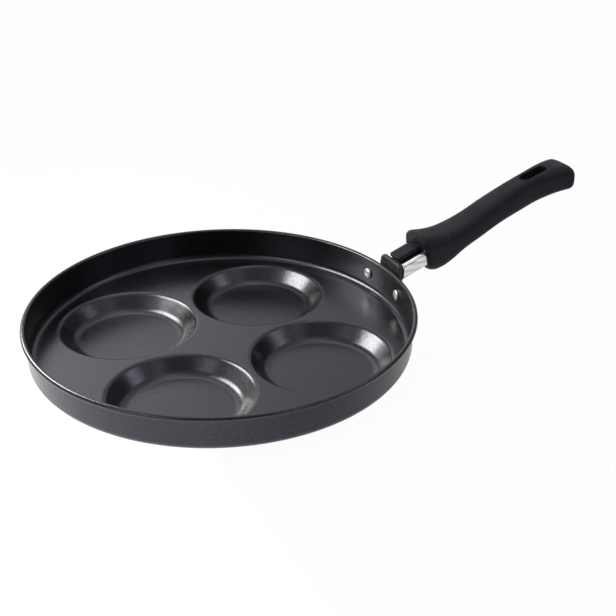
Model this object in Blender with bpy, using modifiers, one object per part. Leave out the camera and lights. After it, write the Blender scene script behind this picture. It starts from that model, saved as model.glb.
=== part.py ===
"""Four-cup pancake pan: a pressed steel pan with four shallow cups, a riveted bracket, and a
phenolic handle that one long screw clamps over a chromed flame guard. Metres, +Z up.
The origin is on the pan's axis, on the flat floor between the cups. The handle runs along +X."""

import math

import bpy
import numpy as np
from mathutils import Matrix, Vector

# Gaps between mating pieces
GAP = 0.0003

# Pan body, pressed from one sheet
SHEET = 0.0008
RIM_RADIUS = 0.135
RIM_HEIGHT = 0.02475
BEAD_RADIUS = 0.00175
WALL_FOOT_RADIUS = 0.1321
FOOT_CORNER = 0.0055
BEAD_END_ANGLE = math.radians(-97)
WALL_STEPS = 84

# Cups pressed into the floor
CUP_COUNT = 4
CUP_CENTRE_DISTANCE = 0.0723
CUP_FIRST_ANGLE = math.radians(45)
CUP_RIM_RADIUS = 0.0503
CUP_FLOOR_RADIUS = 0.0372
CUP_DEPTH = 0.0112
CUP_LIP_BEND = 0.0026
CUP_FOOT_BEND = 0.0034
CUP_STEPS = 40

# Handle axis, which the bracket, guard, grip and screw share
AXIS_ANGLE = math.radians(18.8)
AXIS_SETBACK = 0.0045
AXIS_RISE = -0.00055
AXIS_START = RIM_RADIUS + AXIS_SETBACK
AXIS_START_HEIGHT = RIM_HEIGHT + AXIS_RISE

# Rivets
RIVET_OFFSET = 0.0208
RIVET_ANGLE = math.asin(RIVET_OFFSET / RIM_RADIUS)
RIVET_DROP = 0.0122
RIVET_SHANK_RADIUS = 0.0022
RIVET_HEAD_RADIUS = 0.004
RIVET_HEAD_HEIGHT = 0.0017
RIVET_TAIL_RADIUS = 0.0036
RIVET_TAIL_HEIGHT = 0.0014

# Bracket
PAD_THICKNESS = 0.0022
PAD_HALF_WIDTH = 0.0272
PAD_TOP_DROP = 0.0051
PAD_BOTTOM_DROP = 0.0184
BLOCK_HALF_WIDTH = 0.0132
BLOCK_TOP = 0.0064
BLOCK_BOTTOM = 0.0098
BLOCK_CORNER = 0.0036
BLOCK_EDGE = 0.0012
BEAD_CLEARANCE = 0.0004
SHOULDER_LEAN = 0.0013
TENON_LENGTH = 0.011
TENON_ROOT = 0.0028

# Flame guard, an oblong chromed tube
GUARD_HALF_WIDTH = 0.0136
GUARD_HALF_HEIGHT = 0.0055
GUARD_CORNER = 0.0038
GUARD_WALL = 0.0008
GUARD_END = 0.0228

# Screw, washers and nut
SCREW_RADIUS = 0.002
SCREW_LENGTH = 0.060
SCREW_HEAD_RADIUS = 0.0037
SCREW_HEAD_HEIGHT = 0.003
SCREW_SOCKET_RADIUS = 0.0016
SCREW_SOCKET_DEPTH = 0.0018
WASHER_RADIUS = 0.0039
WASHER_THICKNESS = 0.0008
LOCK_WASHER_RADIUS = 0.0036
LOCK_WASHER_THICKNESS = 0.001
LOCK_WASHER_SPLIT = 0.0008
NUT_HALF_WIDTH = 0.0035
NUT_THICKNESS = 0.0032
NUT_START = 0.003
SEAT_DISTANCE = SCREW_LENGTH - LOCK_WASHER_THICKNESS - WASHER_THICKNESS - 2 * GAP
COUNTERBORE_RADIUS = WASHER_RADIUS + GAP

# Grip, lofted along a line that rises from the guard to the end
GRIP_START = AXIS_START + GUARD_END * math.cos(AXIS_ANGLE)
GRIP_STATIONS = (
    # distance from the guard's end, height over the rim, half depth, half width
    (-0.0023, 0.0105, 0.0128, 0.0153),
    (0.0017, 0.0091, 0.0137, 0.0154),
    (0.0058, 0.0083, 0.0139, 0.0155),
    (0.0118, 0.0086, 0.0134, 0.0152),
    (0.0199, 0.0107, 0.0118, 0.0146),
    (0.0280, 0.0138, 0.0101, 0.0139),
    (0.0361, 0.0169, 0.0092, 0.0134),
    (0.0452, 0.0205, 0.0090, 0.0129),
    (0.0625, 0.0283, 0.0092, 0.0122),
    (0.0807, 0.0352, 0.0101, 0.0113),
    (0.0990, 0.0413, 0.0102, 0.0115),
    (0.1153, 0.0453, 0.0103, 0.0135),
    (0.1245, 0.0465, 0.0100, 0.0151),
    (0.1306, 0.0467, 0.0094, 0.0165),
)
GRIP_SQUARENESS = 3.4
FRONT_LEAN = math.radians(13.5)
LEAN_LENGTH = 0.020
FRONT_ROUNDING = 0.0034
BACK_ROUNDING = 0.004
GRIP_RINGS = 26
GRIP_POINTS = 28
ROOM_GAP = 0.00045
BOSS_LENGTH = 0.007
BOSS_STEP = 0.0007
BOSS_INSET = 0.0005
TONGUE_START = 0.0026
TONGUE_HALF_WIDTH = 0.0064
TONGUE_THICKNESS = 0.0033
SLOT_INSET = 0.0261
SLOT_TILT = math.radians(16.5)
SLOT_HALF_LENGTH = 0.0118
SLOT_HALF_WIDTH = COUNTERBORE_RADIUS + 0.0003


def clear_scene():
    for obj in list(bpy.data.objects):
        bpy.data.objects.remove(obj, do_unlink=True)


def collection(name):
    made = bpy.data.collections.new(name)
    bpy.context.scene.collection.children.link(made)
    return made


def material(name, colour, roughness, metallic):
    made = bpy.data.materials.new(name)
    made.use_nodes = True
    shader = made.node_tree.nodes["Principled BSDF"]
    shader.inputs["Base Color"].default_value = (*colour, 1)
    shader.inputs["Roughness"].default_value = roughness
    shader.inputs["Metallic"].default_value = metallic
    made.diffuse_color = (*colour, 1)
    made.roughness = roughness
    made.metallic = metallic
    return made


def mesh_object(name, points, faces, home, edges=()):
    mesh = bpy.data.meshes.new(name)
    mesh.from_pydata([tuple(p) for p in points], list(edges), list(faces))
    mesh.update()
    made = bpy.data.objects.new(name, mesh)
    home.objects.link(made)
    if home is CUTTERS:
        made.hide_render = True
        made.display_type = "WIRE"
    return made


def turned(name, profile, steps, home, place=None):
    """A profile of (radius, height) points, turned about its own Z axis. It may close on itself."""
    points = [(r, 0, z) for r, z in profile]
    edges = [(i, i + 1) for i in range(len(points) - 1)]
    if points[0] == points[-1]:
        points.pop()
        edges[-1] = (len(points) - 1, 0)
    made = mesh_object(name, points, [], home, edges)
    screw = made.modifiers.new("Turn", "SCREW")
    screw.steps = steps
    screw.render_steps = steps
    screw.use_merge_vertices = True
    screw.merge_threshold = 0.00001
    made.matrix_world = place or Matrix()
    return made


def extruded(name, outline, start, end, home, place=None):
    """A closed (x, y) outline, run from start to end along its own Z axis."""
    n = len(outline)
    points = [(x, y, start) for x, y in outline] + [(x, y, end) for x, y in outline]
    faces = [tuple(range(n))[::-1], tuple(range(n, 2 * n))]
    faces += [(i, (i + 1) % n, n + (i + 1) % n, n + i) for i in range(n)]
    made = mesh_object(name, points, faces, home)
    made.matrix_world = place or Matrix()
    return made


def rounded_outline(half_x, half_y, corner, steps=4):
    """Points of an oblong with round corners, anticlockwise."""
    points = []
    for k, (sx, sy) in enumerate(((1, 1), (-1, 1), (-1, -1), (1, -1))):
        for i in range(steps + 1):
            t = (k + i / steps) * math.pi / 2
            x = sx * (half_x - corner) + corner * math.cos(t)
            y = sy * (half_y - corner) + corner * math.sin(t)
            points.append((x, y))
    return points


def arc(centre, radius, first, last, steps):
    angles = [first + (last - first) * i / steps for i in range(steps + 1)]
    return [(centre[0] + radius * math.cos(a), centre[1] + radius * math.sin(a)) for a in angles]


def boolean(target, tool, operation):
    step = target.modifiers.new(tool.name, "BOOLEAN")
    step.operation = operation
    step.solver = "EXACT"
    step.object = tool
    return step


def bevel(target, width, segments, angle=30):
    step = target.modifiers.new("Edges", "BEVEL")
    step.width = width
    step.segments = segments
    step.limit_method = "ANGLE"
    step.angle_limit = math.radians(angle)
    return step


def finish(target, surface, angle=35):
    target.data.materials.append(surface)
    for face in target.data.polygons:
        face.use_smooth = True
    target.data.set_sharp_from_angle(angle=math.radians(angle))


def axis_frame():
    """Local Z along the handle axis, local Y up and away from it, local X to the near side."""
    along = Vector((math.cos(AXIS_ANGLE), 0, math.sin(AXIS_ANGLE)))
    up = Vector((-math.sin(AXIS_ANGLE), 0, math.cos(AXIS_ANGLE)))
    side = up.cross(along)
    columns = Matrix((side, up, along)).transposed().to_4x4()
    return Matrix.Translation((AXIS_START, 0, AXIS_START_HEIGHT)) @ columns


def wall_radius(drop):
    """Outside radius of the wall, this far below the rim's top."""
    top = RIM_RADIUS - BEAD_RADIUS - (BEAD_RADIUS - SHEET)
    fall = RIM_HEIGHT - BEAD_RADIUS - (FOOT_CORNER - SHEET)
    return top + (WALL_FOOT_RADIUS - top) * (drop - BEAD_RADIUS) / fall


WALL_TILT = math.atan2(
    wall_radius(BEAD_RADIUS) - WALL_FOOT_RADIUS,
    RIM_HEIGHT - BEAD_RADIUS - (FOOT_CORNER - SHEET),
)


def rivet_frame(side):
    """Local Z runs outward through the wall at a rivet, from the wall's inner face."""
    angle = side * RIVET_ANGLE
    flat = Vector((math.cos(angle), math.sin(angle), 0))
    out = flat * math.cos(WALL_TILT) - Vector((0, 0, math.sin(WALL_TILT)))
    origin = flat * (wall_radius(RIVET_DROP) - SHEET)
    origin.z = RIM_HEIGHT - RIVET_DROP
    return Matrix.Translation(origin) @ out.to_track_quat("Z", "Y").to_matrix().to_4x4()


def cup_frames():
    for k in range(CUP_COUNT):
        angle = CUP_FIRST_ANGLE + 2 * math.pi * k / CUP_COUNT
        x = CUP_CENTRE_DISTANCE * math.cos(angle)
        y = CUP_CENTRE_DISTANCE * math.sin(angle)
        yield Matrix.Translation((x, y, 0))


def cup_profile(offset):
    """Side of a cup from its lip to its floor. An offset of SHEET gives the underside."""
    reach = CUP_RIM_RADIUS - CUP_FLOOR_RADIUS
    bends = CUP_LIP_BEND + CUP_FOOT_BEND
    straight = math.sqrt(reach**2 + (CUP_DEPTH - bends) ** 2 - bends**2)
    slope = math.atan2(CUP_DEPTH - bends, reach) + math.atan2(bends, straight)
    lip = (CUP_RIM_RADIUS, -CUP_LIP_BEND)
    foot = (CUP_FLOOR_RADIUS, CUP_FOOT_BEND - CUP_DEPTH)
    up = math.pi / 2
    points = arc(lip, CUP_LIP_BEND - offset, up + math.radians(12), up + slope, 3)
    points += arc(foot, CUP_FOOT_BEND + offset, slope - up, -up, 3)
    return points


def make_pan_body(surface):
    bead = (RIM_RADIUS - BEAD_RADIUS, RIM_HEIGHT - BEAD_RADIUS)
    corner = (WALL_FOOT_RADIUS - FOOT_CORNER, FOOT_CORNER - SHEET)
    profile = [(0, 0)]
    profile += arc(corner, FOOT_CORNER - SHEET, -math.pi / 2, 0, 3)
    profile += arc(bead, BEAD_RADIUS, math.pi, BEAD_END_ANGLE, 8)
    profile += arc(bead, BEAD_RADIUS - SHEET, BEAD_END_ANGLE, math.pi, 6)
    profile += arc(corner, FOOT_CORNER, 0, -math.pi / 2, 3)
    profile += [(0, -SHEET)]
    body = turned("pan_body", profile, WALL_STEPS, OBJECT)
    middle = -SHEET / 2
    above = 0.00012
    side = cup_profile(SHEET)
    boss = [(0, middle), (CUP_RIM_RADIUS + 0.0004, middle), *side, (0, -CUP_DEPTH - SHEET)]
    side = cup_profile(0)
    rise = (above - side[0][1]) * (CUP_RIM_RADIUS - side[0][0]) / (0 - side[0][1])
    hollow = [(0, above), (side[0][0] + rise, above), *side, (0, -CUP_DEPTH)]
    for k, place in enumerate(cup_frames()):
        tool = turned(f"cup_boss_{k + 1}", boss, CUP_STEPS, CUTTERS, place)
        boolean(body, tool, "UNION")
    for k, place in enumerate(cup_frames()):
        tool = turned(f"cup_hollow_{k + 1}", hollow, CUP_STEPS, CUTTERS, place)
        boolean(body, tool, "DIFFERENCE")
    for tool in RIVET_HOLES:
        boolean(body, tool, "DIFFERENCE")
    finish(body, surface)
    return body


def make_rivet_holes():
    radius = RIVET_SHANK_RADIUS + GAP
    inner = -3 * SHEET
    outer = 3 * PAD_THICKNESS
    profile = [(0, outer), (radius, outer), (radius, inner), (0, inner)]
    return [
        turned(f"rivet_hole_{name}", profile, 20, CUTTERS, rivet_frame(side))
        for name, side in (("left", 1), ("right", -1))
    ]


def make_rivet(name, side, surface):
    inner = -GAP
    outer = (SHEET + GAP + PAD_THICKNESS) * math.cos(WALL_TILT) + GAP
    ball = (RIVET_HEAD_RADIUS**2 + RIVET_HEAD_HEIGHT**2) / (2 * RIVET_HEAD_HEIGHT)
    reach = math.asin(RIVET_HEAD_RADIUS / ball)
    top = inner - RIVET_HEAD_HEIGHT + ball
    tail = outer + RIVET_TAIL_HEIGHT
    profile = [(0, tail), (RIVET_TAIL_RADIUS * 0.75, tail)]
    profile += [(RIVET_TAIL_RADIUS, tail - 0.4 * RIVET_TAIL_HEIGHT), (RIVET_TAIL_RADIUS, outer)]
    profile += [(RIVET_SHANK_RADIUS, outer), (RIVET_SHANK_RADIUS, inner)]
    dome = [(ball * math.sin(reach * k / 4), top - ball * math.cos(reach * k / 4)) for k in range(5)]
    profile += dome[::-1]
    made = turned(name, profile, 20, OBJECT, rivet_frame(side))
    finish(made, surface)
    return made


def make_bracket(surface):
    inner = GAP
    outer = GAP + PAD_THICKNESS
    drops = (PAD_TOP_DROP - 0.001, PAD_BOTTOM_DROP + 0.001)
    profile = [(wall_radius(d) + inner, RIM_HEIGHT - d) for d in drops[::-1]]
    profile += [(wall_radius(d) + outer, RIM_HEIGHT - d) for d in drops]
    made = turned("handle_bracket", [*profile, profile[0]], WALL_STEPS, OBJECT)

    # Pad outline, with round ends
    half = (PAD_BOTTOM_DROP - PAD_TOP_DROP) / 2
    middle = RIM_HEIGHT - (PAD_BOTTOM_DROP + PAD_TOP_DROP) / 2
    upright = Matrix.Translation((0, 0, middle)) @ Matrix(
        ((0, 0, 1, 0), (1, 0, 0, 0), (0, 1, 0, 0), (0, 0, 0, 1))
    )
    outline = rounded_outline(PAD_HALF_WIDTH, half, half - 0.0002, 5)
    trim = extruded("pad_outline", outline, RIM_RADIUS / 2, 2 * RIM_RADIUS, CUTTERS, upright)
    boolean(made, trim, "INTERSECT")

    # Shoulder block that rises behind the rim to the guard's end
    top = RIM_HEIGHT
    face = RIM_RADIUS + BEAD_CLEARANCE
    back = AXIS_START + BLOCK_TOP
    high = BLOCK_TOP + 2 * BLOCK_EDGE
    low = BLOCK_BOTTOM + 2 * BLOCK_EDGE
    seat = GAP + PAD_THICKNESS / 2
    side_view = [
        (back, top - low),
        (back, top + high),
        (face + SHOULDER_LEAN, top + high),
        (face, top),
        (face, top - 2 * BEAD_RADIUS - 2 * BEAD_CLEARANCE),
        (wall_radius(PAD_TOP_DROP) + seat, top - PAD_TOP_DROP),
        (wall_radius(low) + seat, top - low),
    ]
    across = Matrix(((1, 0, 0, 0), (0, 0, -1, 0), (0, 1, 0, 0), (0, 0, 0, 1)))
    wide = 2 * BLOCK_HALF_WIDTH
    shape = extruded("block_side_view", side_view, -wide, wide, CUTTERS, across)
    tall = (BLOCK_TOP + BLOCK_BOTTOM) / 2
    outline = rounded_outline(BLOCK_HALF_WIDTH, tall, BLOCK_CORNER, 5)
    upright.translation = (0, 0, top + (BLOCK_TOP - BLOCK_BOTTOM) / 2)
    block = extruded("block", outline, RIM_RADIUS / 2, AXIS_START, CUTTERS, upright)
    boolean(block, shape, "INTERSECT")
    bevel(block, BLOCK_EDGE, 2)
    boolean(made, block, "UNION")

    # Tenon inside the guard, with a slot that holds the nut
    width = GUARD_HALF_WIDTH - GUARD_WALL - GAP
    height = GUARD_HALF_HEIGHT - GUARD_WALL - GAP
    outline = rounded_outline(width, height, GUARD_CORNER - GUARD_WALL - GAP)
    tenon = extruded("tenon", outline, -TENON_ROOT, TENON_LENGTH, CUTTERS, axis_frame())
    boolean(made, tenon, "UNION")
    radius = SCREW_RADIUS + GAP
    start = -2 * GAP
    end = 2 * TENON_LENGTH
    profile = [(0, end), (radius, end), (radius, start), (0, start)]
    boolean(made, turned("tenon_bore", profile, 20, CUTTERS, axis_frame()), "DIFFERENCE")
    room = NUT_HALF_WIDTH + GAP
    mouth = -GUARD_HALF_HEIGHT
    outline = [(-room, mouth), (room, mouth), (room, room), (-room, room)]
    start = NUT_START - GAP
    end = NUT_START + NUT_THICKNESS + GAP
    boolean(made, extruded("nut_slot", outline, start, end, CUTTERS, axis_frame()), "DIFFERENCE")
    for tool in RIVET_HOLES:
        boolean(made, tool, "DIFFERENCE")
    finish(made, surface)
    return made


def make_guard(surface):
    """Open oblong tube between the bracket's upright face and the grip's square one."""
    outline = rounded_outline(GUARD_HALF_WIDTH, GUARD_HALF_HEIGHT, GUARD_CORNER, 5)
    n = len(outline)
    start = GAP / math.cos(AXIS_ANGLE)
    points = [(x, y, start + y * math.tan(AXIS_ANGLE)) for x, y in outline]
    points += [(x, y, GUARD_END) for x, y in outline]
    faces = [(i, (i + 1) % n, n + (i + 1) % n, n + i) for i in range(n)]
    made = mesh_object("flame_guard", points, faces, OBJECT)
    made.matrix_world = axis_frame()
    shell = made.modifiers.new("Sheet", "SOLIDIFY")
    shell.thickness = GUARD_WALL
    shell.offset = -1
    shell.use_even_offset = True
    finish(made, surface)
    return made


def grip_section(x):
    """Middle height over the rim, half depth and half width of the grip at x."""
    table = np.array(GRIP_STATIONS).T
    stations = GRIP_START + table[0]
    found = []
    for v in table[1:]:
        slope = np.gradient(v, stations)
        k = int(np.clip(np.searchsorted(stations, x) - 1, 0, len(stations) - 2))
        span = stations[k + 1] - stations[k]
        t = (x - stations[k]) / span
        a = (2 * t**3 - 3 * t**2 + 1) * v[k] + (t**3 - 2 * t**2 + t) * span * slope[k]
        b = (3 * t**2 - 2 * t**3) * v[k + 1] + (t**3 - t**2) * span * slope[k + 1]
        found.append(a + b)
    return found


def make_grip(surface):
    first = GRIP_START + GRIP_STATIONS[0][0]
    last = GRIP_START + GRIP_STATIONS[-1][0]
    front = [first + d for d in (0, 0.0004, 0.0013, 0.0032)]
    back = [last - d for d in (0.0025, 0.0010, 0.0003, 0)]
    middle = np.linspace(first + 2 * FRONT_ROUNDING, last - 1.5 * BACK_ROUNDING, GRIP_RINGS - 8)
    positions = front + list(middle) + back
    points = []
    for x in positions:
        middle, depth, width = grip_section(x)
        ahead = grip_section(min(x + 0.0005, last))[0]
        behind = grip_section(max(x - 0.0005, first))[0]
        settled = min(1.0, (x - first) / LEAN_LENGTH)
        turn = FRONT_LEAN + (math.atan2(ahead - behind, 0.001) - FRONT_LEAN) * settled
        near_front = max(0.0, 1 - (x - first) / FRONT_ROUNDING)
        near_back = max(0.0, 1 - (last - x) / BACK_ROUNDING)
        shrink = 1 - 0.13 * near_front**2 - 0.16 * near_back**2.5
        for k in range(GRIP_POINTS):
            t = 2 * math.pi * (k + 0.5) / GRIP_POINTS
            power = 2 / GRIP_SQUARENESS
            across = math.copysign(abs(math.cos(t)) ** power, math.cos(t)) * width * shrink
            up = math.copysign(abs(math.sin(t)) ** power, math.sin(t)) * depth * shrink
            height = RIM_HEIGHT + middle + math.cos(turn) * up
            points.append((x - math.sin(turn) * up, -across, height))
    n = GRIP_POINTS
    rings = len(positions)
    faces = [tuple(range(n)), tuple(range((rings - 1) * n, rings * n))[::-1]]
    for r in range(rings - 1):
        for i in range(n):
            j = (i + 1) % n
            faces.append((r * n + i, (r + 1) * n + i, (r + 1) * n + j, r * n + j))
    made = mesh_object("handle_grip", points, faces, OBJECT)

    # Room for the guard's end, then the boss that presses on it
    outline = rounded_outline(
        GUARD_HALF_WIDTH + ROOM_GAP, GUARD_HALF_HEIGHT + ROOM_GAP, GUARD_CORNER + ROOM_GAP
    )
    room = extruded("guard_room", outline, 0, GUARD_END + BOSS_STEP, CUTTERS, axis_frame())
    boolean(made, room, "DIFFERENCE")
    outline = rounded_outline(
        GUARD_HALF_WIDTH - BOSS_INSET, GUARD_HALF_HEIGHT - BOSS_INSET, GUARD_CORNER - BOSS_INSET
    )
    end = GUARD_END + BOSS_LENGTH
    boss = extruded("grip_boss", outline, GUARD_END + GAP, end, CUTTERS, axis_frame())
    boolean(made, boss, "UNION")

    # Tongue moulded with the grip, over the top of the guard
    low = GUARD_HALF_HEIGHT + GAP
    high = low + TONGUE_THICKNESS
    outline = [
        (-TONGUE_HALF_WIDTH, low),
        (TONGUE_HALF_WIDTH, low),
        (TONGUE_HALF_WIDTH, high),
        (-TONGUE_HALF_WIDTH, high),
    ]
    tongue = extruded("tongue", outline, TONGUE_START, end, CUTTERS, axis_frame())
    bevel(tongue, 0.0009, 2)
    boolean(made, tongue, "UNION")

    # Screw bore, and the wider passage that runs from its seat into the hanging slot
    slot_x = last - SLOT_INSET
    end = (slot_x - AXIS_START) / math.cos(AXIS_ANGLE) - SLOT_HALF_LENGTH / 3
    narrow = SCREW_RADIUS + GAP
    wide = COUNTERBORE_RADIUS
    profile = [(0, end), (wide, end), (wide, SEAT_DISTANCE), (narrow, SEAT_DISTANCE)]
    profile += [(narrow, GUARD_END / 2), (0, GUARD_END / 2)]
    boolean(made, turned("screw_bore", profile, 20, CUTTERS, axis_frame()), "DIFFERENCE")
    middle, depth, _ = grip_section(slot_x)
    outline = rounded_outline(SLOT_HALF_LENGTH, SLOT_HALF_WIDTH, SLOT_HALF_WIDTH - 0.0001, 6)
    place = Matrix.Translation((slot_x, 0, RIM_HEIGHT + middle))
    place = place @ Matrix.Rotation(-SLOT_TILT, 4, "Y")
    slot = extruded("hanging_slot", outline, -2 * depth, 2 * depth, CUTTERS, place)
    boolean(made, slot, "DIFFERENCE")
    finish(made, surface, 40)
    return made


def make_screw(surface):
    under = GAP + SCREW_LENGTH
    top = under + SCREW_HEAD_HEIGHT
    floor = top - SCREW_SOCKET_DEPTH
    profile = [(0, floor), (SCREW_SOCKET_RADIUS, floor), (SCREW_SOCKET_RADIUS, top)]
    profile += [(SCREW_HEAD_RADIUS - 0.0005, top), (SCREW_HEAD_RADIUS, top - 0.0005)]
    profile += [(SCREW_HEAD_RADIUS, under), (SCREW_RADIUS, under)]
    profile += [(SCREW_RADIUS, GAP + 0.0005), (SCREW_RADIUS - 0.0005, GAP), (0, GAP)]
    made = turned("handle_screw", profile, 20, OBJECT, axis_frame())
    finish(made, surface)
    return made


def make_washer(name, start, thickness, outside, surface):
    inside = SCREW_RADIUS + GAP
    profile = [(inside, start), (inside, start + thickness)]
    profile += [(outside, start + thickness), (outside, start)]
    made = turned(name, [*profile, profile[0]], 20, OBJECT, axis_frame())
    finish(made, surface)
    return made


def make_lock_washer(name, start, surface):
    made = make_washer(name, start, LOCK_WASHER_THICKNESS, LOCK_WASHER_RADIUS, surface)
    half = LOCK_WASHER_SPLIT / 2
    reach = 2 * LOCK_WASHER_RADIUS
    inner = SCREW_RADIUS / 2
    outline = [(-half, inner), (half, inner), (half, reach), (-half, reach)]
    past = LOCK_WASHER_THICKNESS
    split = extruded("lock_split", outline, start - past, start + 2 * past, CUTTERS, axis_frame())
    boolean(made, split, "DIFFERENCE")
    return made


def make_nut(surface):
    w = NUT_HALF_WIDTH
    outline = [(-w, -w), (w, -w), (w, w), (-w, w)]
    end = NUT_START + NUT_THICKNESS
    made = extruded("bracket_nut", outline, NUT_START, end, OBJECT, axis_frame())
    bevel(made, 0.0003, 1)
    radius = SCREW_RADIUS + GAP
    past = end + NUT_THICKNESS
    before = NUT_START - NUT_THICKNESS
    profile = [(0, past), (radius, past), (radius, before), (0, before)]
    boolean(made, turned("nut_bore", profile, 20, CUTTERS, axis_frame()), "DIFFERENCE")
    finish(made, surface)
    return made


clear_scene()
OBJECT = collection("four_cup_pancake_pan")
CUTTERS = collection("cutters")
COATED = material("black_nonstick_coating", (0.045, 0.045, 0.05), 0.38, 0.4)
PAINTED = material("black_bracket_paint", (0.02, 0.02, 0.022), 0.32, 0.1)
CHROMED = material("bright_chrome", (0.82, 0.82, 0.83), 0.1, 1.0)
PHENOLIC = material("black_phenolic", (0.018, 0.018, 0.02), 0.45, 0.0)
ALUMINIUM = material("rivet_aluminium", (0.8, 0.8, 0.8), 0.28, 1.0)
ZINC = material("zinc_plated_steel", (0.62, 0.63, 0.65), 0.35, 1.0)

RIVET_HOLES = make_rivet_holes()
make_pan_body(COATED)
make_rivet("rivet_left", 1, ALUMINIUM)
make_rivet("rivet_right", -1, ALUMINIUM)
make_bracket(PAINTED)
make_guard(CHROMED)
make_grip(PHENOLIC)
make_nut(ZINC)
seat = SEAT_DISTANCE + GAP
make_washer("screw_washer", seat, WASHER_THICKNESS, WASHER_RADIUS, ZINC)
seat += WASHER_THICKNESS + GAP
make_lock_washer("lock_washer", seat, ZINC)
make_screw(ZINC)
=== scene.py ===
# %% [markdown]
# Four-cup pancake pan
#
# The real object is a pressed steel pan with a dark non-stick coating, a painted
# bracket on two rivets, a chromed flame guard and a black phenolic handle. The packed
# model gives every piece its true place in metres: origin on the pan's axis at the
# flat floor between the cups, handle along +X, +Z up. This lesson lays smooth
# surfaces and detailed finishes over that model. Each surface is worked out as whole
# numpy arrays from a formula, because a pressed or moulded form is described better
# by its radii than by hand-placed vertices.

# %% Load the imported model
import math

import bmesh
import bpy
import numpy as np
from mathutils import Matrix, Vector


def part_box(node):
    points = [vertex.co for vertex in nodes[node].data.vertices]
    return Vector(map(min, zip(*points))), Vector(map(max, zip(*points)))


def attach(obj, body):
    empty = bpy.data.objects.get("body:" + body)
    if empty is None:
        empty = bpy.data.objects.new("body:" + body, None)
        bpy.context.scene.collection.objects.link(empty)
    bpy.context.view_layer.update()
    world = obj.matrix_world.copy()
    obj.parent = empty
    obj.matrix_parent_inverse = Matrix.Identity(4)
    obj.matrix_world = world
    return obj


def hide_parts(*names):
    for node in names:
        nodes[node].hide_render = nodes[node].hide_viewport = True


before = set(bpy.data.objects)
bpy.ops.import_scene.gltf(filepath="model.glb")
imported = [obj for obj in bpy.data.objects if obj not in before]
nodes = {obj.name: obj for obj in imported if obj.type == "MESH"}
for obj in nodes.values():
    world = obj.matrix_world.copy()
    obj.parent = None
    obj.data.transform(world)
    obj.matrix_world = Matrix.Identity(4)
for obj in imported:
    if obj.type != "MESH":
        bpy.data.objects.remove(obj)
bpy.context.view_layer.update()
print("packed pieces:", ", ".join(sorted(nodes)))

# %% [markdown]
# The sizes below are the ones that the solids were made from, but for the cups' sides.
# The press leaves a softer cup than the solids' cone with small bends, so here the lip
# and the foot of a cup turn on larger arcs, within a millimetre of the solid. Pieces
# that touch are worked out from the same numbers, so the guard meets the bracket, and
# the handle meets the guard, with the gaps of the real assembly.

# %% Sizes of the pan, in metres
GAP = 0.0003
ROOM_GAP = 0.00045
SHEET = 0.0008
RIM_RADIUS = 0.135
RIM_HEIGHT = 0.02475
BEAD_RADIUS = 0.00175
WALL_FOOT_RADIUS = 0.1321
FOOT_CORNER = 0.0055
CUP_DISTANCE = 0.0723
CUP_CENTRE = CUP_DISTANCE / math.sqrt(2)
CUP_RIM_RADIUS = 0.0505
CUP_FLOOR_RADIUS = 0.0345
CUP_DEPTH = 0.0112
CUP_LIP_BEND = 0.0045
CUP_FOOT_BEND = 0.0085
RIM_STEPS = 360

low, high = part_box("pan_body")
print("pan box in mm:", [round(1000 * (b - a), 1) for a, b in zip(low, high)])

# %% Sizes of the rivets, bracket, guard and handle, in metres
RIVET_OFFSET = 0.0208
RIVET_ANGLE = math.asin(RIVET_OFFSET / RIM_RADIUS)
RIVET_DROP = 0.0122
PAD_THICKNESS = 0.0022
AXIS_ANGLE = math.radians(18.8)
AXIS_OUT, AXIS_DOWN = 0.0045, 0.00055
AXIS_START = RIM_RADIUS + AXIS_OUT
AXIS_HEIGHT = RIM_HEIGHT - AXIS_DOWN
GUARD_HALF_WIDTH = 0.0136
GUARD_HALF_HEIGHT = 0.0055
GUARD_CORNER = 0.0038
GUARD_WALL = 0.0008
GUARD_END = 0.0228
GRIP_START = AXIS_START + GUARD_END * math.cos(AXIS_ANGLE)
print("handle axis starts", round(1000 * AXIS_START, 1), "mm from the pan's axis")

# %% [markdown]
# Every surface here is a grid of points: rows run one way over the piece, columns the
# other. A few helpers turn such grids into meshes. Seams are closed by merging the
# points that fall on each other, and the faces are then turned to point outwards,
# which Blender can work out once the skin is closed.


# %% Grids and arcs
def arc(centre, radius, first, last, steps):
    """Points of a circle: centre plus radius times cosine and sine, first to last degree."""
    a = np.radians(np.linspace(first, last, steps + 1))
    return np.column_stack((centre[0] + radius * np.cos(a), centre[1] + radius * np.sin(a)))


def grid_faces(rows, columns, around=False):
    """Corner numbers of a grid's squares. Around joins the last column to the first."""
    r, c = np.meshgrid(
        np.arange(rows - 1), np.arange(columns - (not around)), indexing="ij"
    )
    right = (c + 1) % columns
    below = (r + 1) * columns
    corners = (r * columns + c, r * columns + right, below + right, below + c)
    return np.stack(corners, axis=-1).reshape(-1, 4)


print("a grid of 3 rows and 4 columns has", len(grid_faces(3, 4)), "squares")


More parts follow.
